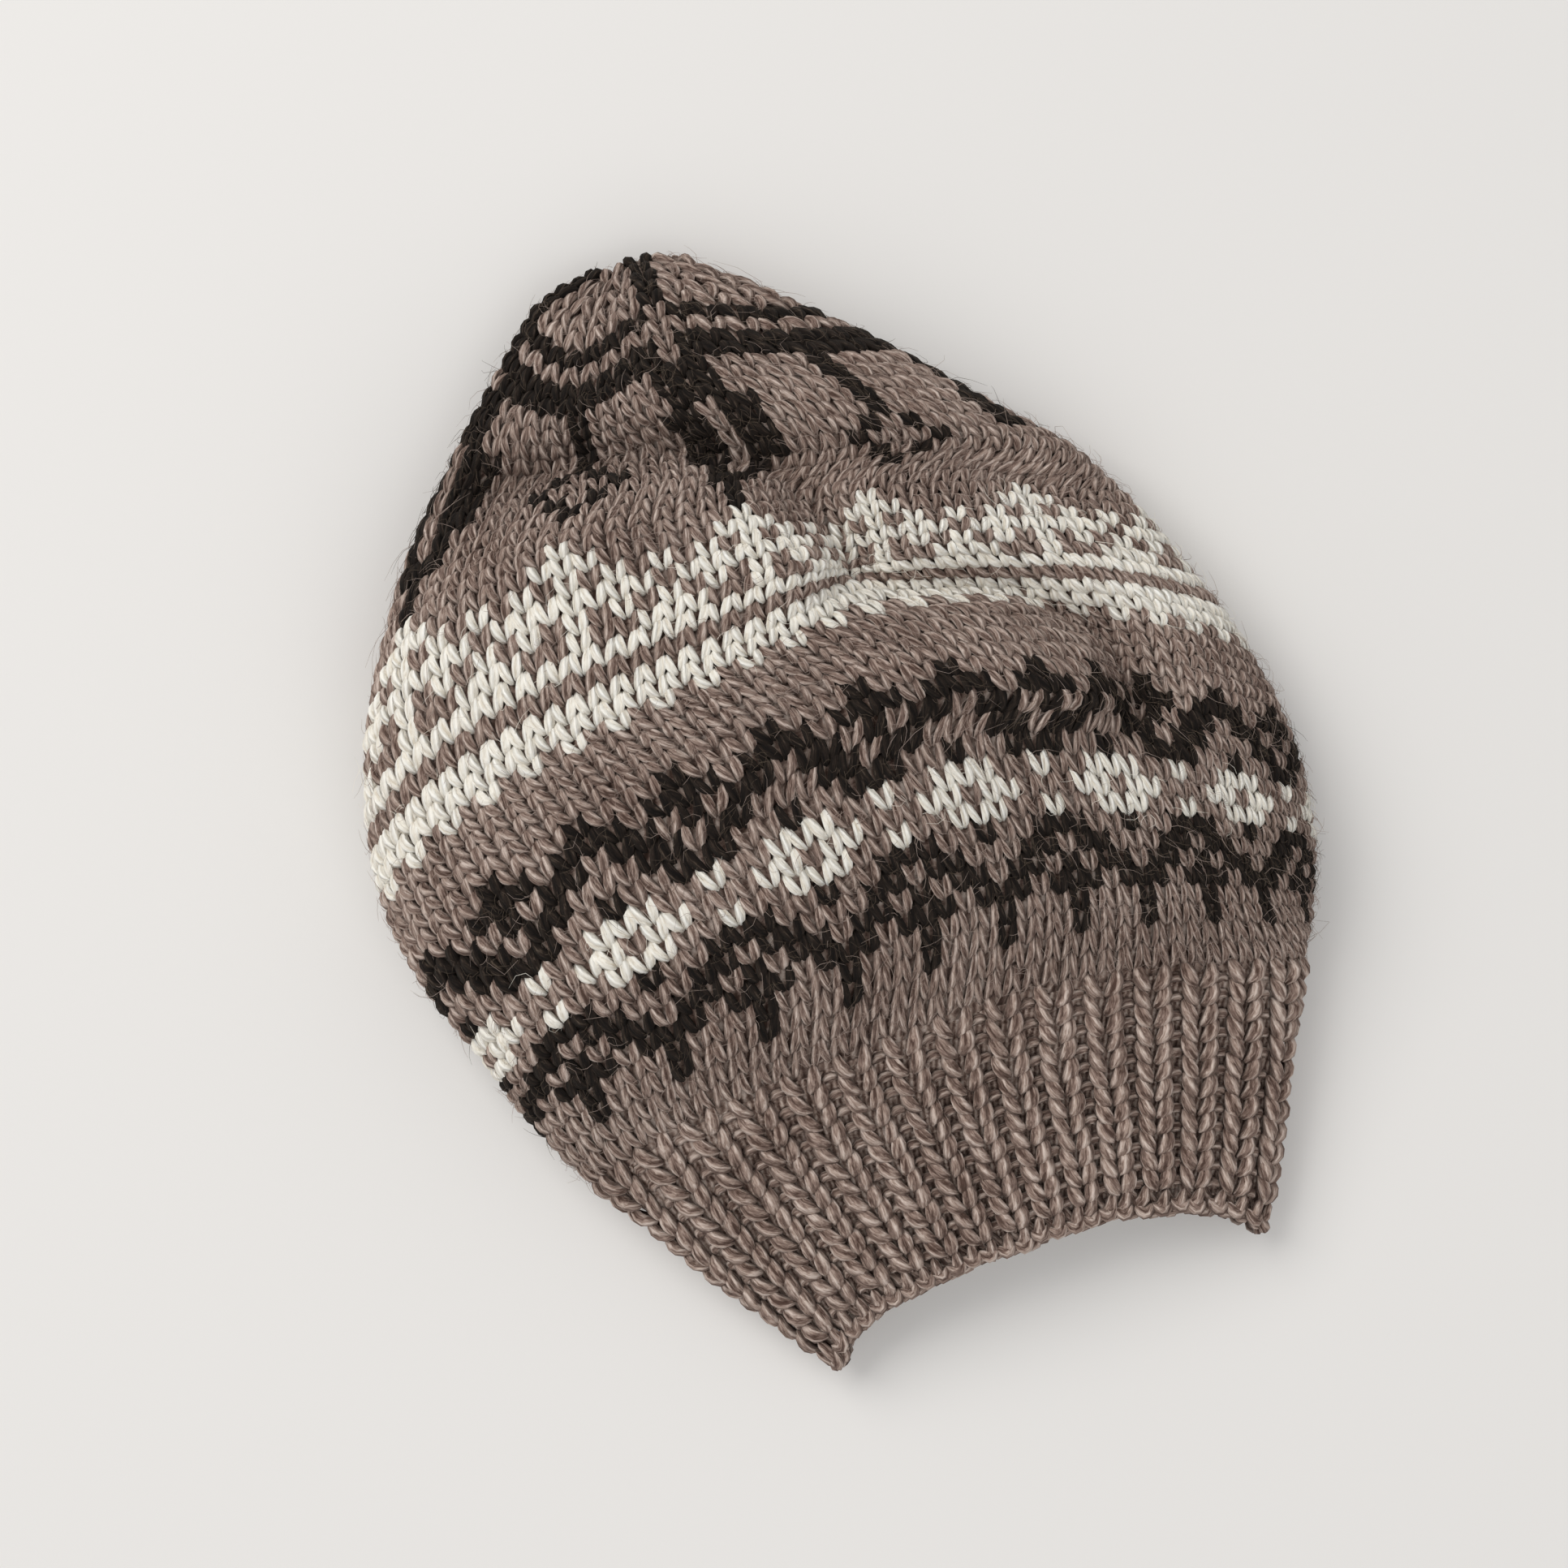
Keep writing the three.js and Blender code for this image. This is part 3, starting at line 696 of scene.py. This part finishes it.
def add_node(tree, kind, inputs=None, **settings):
    """A shader node with its settings and the values of its named or numbered inputs."""
    node = tree.nodes.new(kind)
    for key, value in settings.items():
        setattr(node, key, value)
    for key, value in (inputs or {}).items():
        if isinstance(value, bpy.types.NodeSocket):
            tree.links.new(value, node.inputs[key])
        else:
            node.inputs[key].default_value = value
    return node


def turned_uv(tree, uv, angle, scale):
    """The yarn's UV turned by an angle in degrees and stretched, so that a pattern slants round it."""
    settings = {"Vector": uv, "Rotation": (0, 0, math.radians(angle)), "Scale": scale}
    return add_node(tree, "ShaderNodeMapping", settings, vector_type="TEXTURE").outputs[0]


def shifted(tree, value, share, base):
    """A base moved by a share of how far a value lies from one half."""
    centred = add_node(tree, "ShaderNodeMath", {0: value, 1: 0.5}, operation="SUBTRACT")
    inputs = {0: centred.outputs[0], 1: share, 2: base}
    return add_node(tree, "ShaderNodeMath", inputs, operation="MULTIPLY_ADD").outputs[0]


def yarn_finish(name, tones, streaks, ply_depth, sheen, sheen_tint, drift, painted_flank_shade):
    """Plied wool. Fibre streaks run along each strand at a slant and pick the tone, a twisted wave
    presses the ply grooves in and paints shade into them and light onto the ply crests, and a slow cloud
    over the whole hat makes the heather uneven. The flanks and underside of a strand are darker by a
    painted shade, down to the share given last."""
    material = bpy.data.materials.new(name)
    material.use_nodes = True
    tree = material.node_tree
    shader = tree.nodes["Principled BSDF"]
    place = add_node(tree, "ShaderNodeTexCoord")
    slant = turned_uv(tree, place.outputs["UV"], FIBRE_ANGLE, (1 / streaks, FIBRE_STRETCH, 1))
    fibres = add_node(tree, "ShaderNodeTexNoise",
                      {"Vector": slant, "Scale": 1.0, "Detail": 4.0, "Roughness": 0.66, "Distortion": 0.5})
    twist = turned_uv(tree, place.outputs["UV"], PLY_ANGLE, (1, 1, 1))
    plies = add_node(tree, "ShaderNodeTexWave",
                     {"Vector": twist, "Scale": PLY_SCALE, "Distortion": 0.6, "Detail": 1.0})
    cloud = add_node(tree, "ShaderNodeTexNoise",
                     {"Vector": place.outputs["Object"], "Scale": CLOUD_SCALE, "Detail": 2.0})
    # The ply wave moves the tone too: painted shade in the ply grooves and painted light on the ply crests
    mixed = shifted(tree, plies.outputs["Fac"], PLY_PAINTED_SHADE, fibres.outputs["Fac"])
    tone = shifted(tree, cloud.outputs["Fac"], drift, mixed)
    ramp = add_node(tree, "ShaderNodeValToRGB", {"Fac": tone})
    while len(ramp.color_ramp.elements) < len(tones):
        ramp.color_ramp.elements.new(0.5)
    for element, (position, colour) in zip(ramp.color_ramp.elements, tones):
        element.position = position
        element.color = (*colour, 1)
    relief = {0: plies.outputs["Fac"], 1: ply_depth, 2: fibres.outputs["Fac"]}
    height = add_node(tree, "ShaderNodeMath", relief, operation="MULTIPLY_ADD")
    bump = add_node(tree, "ShaderNodeBump",
                    {"Height": height.outputs[0], "Strength": RELIEF_STRENGTH, "Distance": RELIEF})
    # Painted shade: the colour is scaled down on the flanks and underside of every strand, where its
    # neighbours shade it
    around = add_node(tree, "ShaderNodeSeparateXYZ", {0: place.outputs["UV"]})
    crest = add_node(tree, "ShaderNodeMath", {0: around.outputs["X"]}, operation="SINE")
    shade = add_node(tree, "ShaderNodeMapRange", {"Value": crest.outputs[0], "From Min": FLANK,
                                                  "From Max": CREST, "To Min": painted_flank_shade, "To Max": 1.0})
    shaded = add_node(tree, "ShaderNodeVectorMath", {0: ramp.outputs["Color"], "Scale": shade.outputs[0]},
                      operation="SCALE")
    tree.links.new(shaded.outputs[0], shader.inputs["Base Color"])
    tree.links.new(bump.outputs["Normal"], shader.inputs["Normal"])
    shader.inputs["Roughness"].default_value = 0.9
    shader.inputs["Specular IOR Level"].default_value = 0.2
    shader.inputs["Sheen Weight"].default_value = sheen
    shader.inputs["Sheen Roughness"].default_value = 0.45
    shader.inputs["Sheen Tint"].default_value = (*sheen_tint, 1)
    return material


def srgb(red, green, blue):
    """Linear colour of a screen colour given from 0 to 255."""
    return tuple(((v / 255 + 0.055) / 1.055) ** 2.4 for v in (red, green, blue))


TAUPE_TONES = ((0.32, srgb(79, 60, 52)), (0.45, srgb(129, 108, 98)), (0.56, srgb(170, 149, 137)),
               (0.7, srgb(215, 198, 187)))
TAUPE_FIBRE_TONES = ((0.3, srgb(140, 120, 110)), (0.7, srgb(190, 174, 164)))
TAUPE_SHEEN = srgb(190, 176, 166)
DARK_TONES = ((0.36, srgb(15, 11, 9)), (0.5, srgb(29, 22, 18)), (0.64, srgb(46, 37, 31)),
              (0.78, srgb(92, 80, 69)))
DARK_FIBRE_TONES = ((0.3, srgb(60, 49, 41)), (0.7, srgb(122, 108, 94)))
DARK_SHEEN = srgb(120, 108, 96)
CREAM_TONES = ((0.28, srgb(222, 212, 194)), (0.42, srgb(246, 240, 227)), (0.56, srgb(254, 250, 240)),
               (0.74, srgb(255, 254, 248)))
CREAM_SHEEN = srgb(250, 246, 238)
# The last number of each finish is the share that the painted shade on the strand flanks darkens to; 1.0
# paints none
TAUPE = yarn_finish("taupe_yarn", TAUPE_TONES, 4.6, 0.8, 0.3, TAUPE_SHEEN, 0.22, 0.55)
TAUPE_INSIDE = yarn_finish("taupe_inside", TAUPE_TONES, 1.0, 0.0, 0.3, TAUPE_SHEEN, 0.22, 1.0)
TAUPE_FIBRE = yarn_finish("taupe_fibre", TAUPE_FIBRE_TONES, 1.0, 0.0, 0.3, TAUPE_SHEEN, 0.1, 1.0)
DARK = yarn_finish("dark_yarn", DARK_TONES, 4.6, 0.7, 0.2, DARK_SHEEN, 0.1, 0.5)
CREAM = yarn_finish("cream_yarn", CREAM_TONES, 3.6, 1.0, 0.2, CREAM_SHEEN, 0.1, 0.84)
DARK_FIBRE = yarn_finish("dark_fibre", DARK_FIBRE_TONES, 1.0, 0.0, 0.25, DARK_SHEEN, 0.1, 1.0)


def knit():
    """All the knitting, split by yarn and height into pieces that stay light."""
    rng = np.random.default_rng(SEED)
    table = stitch_table()
    rows, wales, widths, letters, chain = table
    band_backs = loop_backs(INSIDE_FIRST_ROW, BAND_ROWS, BAND_BACK_STEPS, True)
    crown_backs = loop_backs(BAND_ROWS, CLOSED_ROW - GRID_STEP, CROWN_BACK_STEPS, False)
    add_piece("rib_stitches", rib_stitches(rng), TAUPE, "ribbed_band")
    add_piece("purl_columns", purl_bumps(rng), TAUPE, "ribbed_band")
    add_piece("cast_on_edge", cast_on(rng), TAUPE, "ribbed_band")
    add_piece("band_inside", band_backs, TAUPE_INSIDE, "ribbed_band")
    add_piece("crown_inside", crown_backs, TAUPE_INSIDE, "crown")
    rise = clamp01((rows - FIRST_DECREASE + 1) / CHAIN_RAISE_ROWS)
    raised = np.where(chain, CHAIN_RAISE * rise, 0.0)
    for name, letter, low, high, finish, slot in (
            ("taupe_start_stitches", ".", FIRST_PLAIN_ROW, FIRST_BODY_ROW, TAUPE, "taupe_yarn"),
            ("taupe_body_stitches", ".", FIRST_BODY_ROW, FIRST_CROWN_ROW, TAUPE, "taupe_yarn"),
            ("taupe_crown_stitches", ".", FIRST_CROWN_ROW, CLOSED_ROW, TAUPE, "taupe_yarn"),
            ("dark_motif_stitches", "D", FIRST_PLAIN_ROW, CROWN_MOTIF_ROW, DARK, "dark_yarn"),
            ("dark_crown_stitches", "D", CROWN_MOTIF_ROW, CLOSED_ROW, DARK, "dark_yarn"),
            ("cream_stitches", "W", FIRST_PLAIN_ROW, CLOSED_ROW, CREAM, "cream_yarn")):
        use = (letters == letter) & (rows >= low) & (rows < high)
        mesh = stitch_legs(rows[use], wales[use], widths[use], raised[use], 1.0, rng)
        add_piece(name, mesh, finish, "crown")
    for name, letter, count, finish, slot, length in (
            ("taupe_fuzz", ".", 7000, TAUPE_FIBRE, "taupe_yarn", 3.6),
            ("dark_fuzz", "D", 2800, DARK_FIBRE, "dark_yarn", 3.2),
            ("cream_fuzz", "W", 900, CREAM, "cream_yarn", 2.8)):
        add_piece(name, fuzz(table, letter, count, rng, length), finish, "crown")


# Where the camera stands, in metres: over the middle of the view, its top turned from +Y by degrees
VIEW_MIDDLE = (-0.00855, 0.00385, 0.018)
VIEW_DISTANCE = 0.65
VIEW_WIDTH = 0.361
VIEW_TURN = -21.2
SENSOR = 36.0
FLOOR_REACH = 2.5


def place_camera():
    """A camera that looks straight down, with the frame's width at the hat's outline."""
    data = bpy.data.cameras.new("camera")
    data.sensor_width = SENSOR
    data.lens = SENSOR * VIEW_DISTANCE / VIEW_WIDTH
    data.clip_start = 0.01
    camera = bpy.data.objects.new("camera", data)
    camera.location = (VIEW_MIDDLE[0], VIEW_MIDDLE[1], VIEW_MIDDLE[2] + VIEW_DISTANCE)
    camera.rotation_euler = (0, 0, math.radians(VIEW_TURN))
    bpy.context.scene.collection.objects.link(camera)
    bpy.context.scene.camera = camera


def add_light(name, bearing, height, distance, size, power, colour):
    """A square soft light at a bearing in the picture, in degrees from its top to the left."""
    data = bpy.data.lights.new(name, "AREA")
    data.size = size
    data.energy = power
    data.color = colour
    light = bpy.data.objects.new(name, data)
    turn = math.radians(bearing + VIEW_TURN)
    rise = math.radians(height)
    toward = (-math.sin(turn) * math.cos(rise), math.cos(turn) * math.cos(rise), math.sin(rise))
    light.location = [distance * value for value in toward]
    light.rotation_euler = (math.radians(90 - height), 0, math.pi + turn)
    bpy.context.scene.collection.objects.link(light)


def stage_set():
    """A plain pale floor, a soft sky and two soft lights."""
    scene = bpy.context.scene
    scene.view_settings.view_transform = "Standard"
    world = bpy.data.worlds.new("studio")
    world.use_nodes = True
    world.node_tree.nodes["Background"].inputs["Color"].default_value = (0.98, 0.985, 1, 1)
    world.node_tree.nodes["Background"].inputs["Strength"].default_value = 0.5
    scene.world = world
    add_light("key_light", bearing=48, height=46, distance=2.0, size=1.3, power=21.8,
              colour=(1, 0.985, 0.96))
    add_light("fill_light", bearing=200, height=55, distance=1.7, size=1.4, power=7.0,
              colour=(1, 0.98, 0.95))
    data = bpy.data.meshes.new("floor")
    corners = [(FLOOR_REACH * x, FLOOR_REACH * y, 0) for x, y in ((-1, -1), (1, -1), (1, 1), (-1, 1))]
    data.from_pydata(corners, [], [(0, 1, 2, 3)])
    floor = bpy.data.objects.new("floor", data)
    scene.collection.objects.link(floor)
    paper = bpy.data.materials.new("pale_paper")
    paper.use_nodes = True
    shader = paper.node_tree.nodes["Principled BSDF"]
    shader.inputs["Base Color"].default_value = (0.8, 0.785, 0.765, 1)
    shader.inputs["Roughness"].default_value = 0.8
    shader.inputs["Specular IOR Level"].default_value = 0.2
    data.materials.append(paper)


knit()
place_camera()
stage_set()
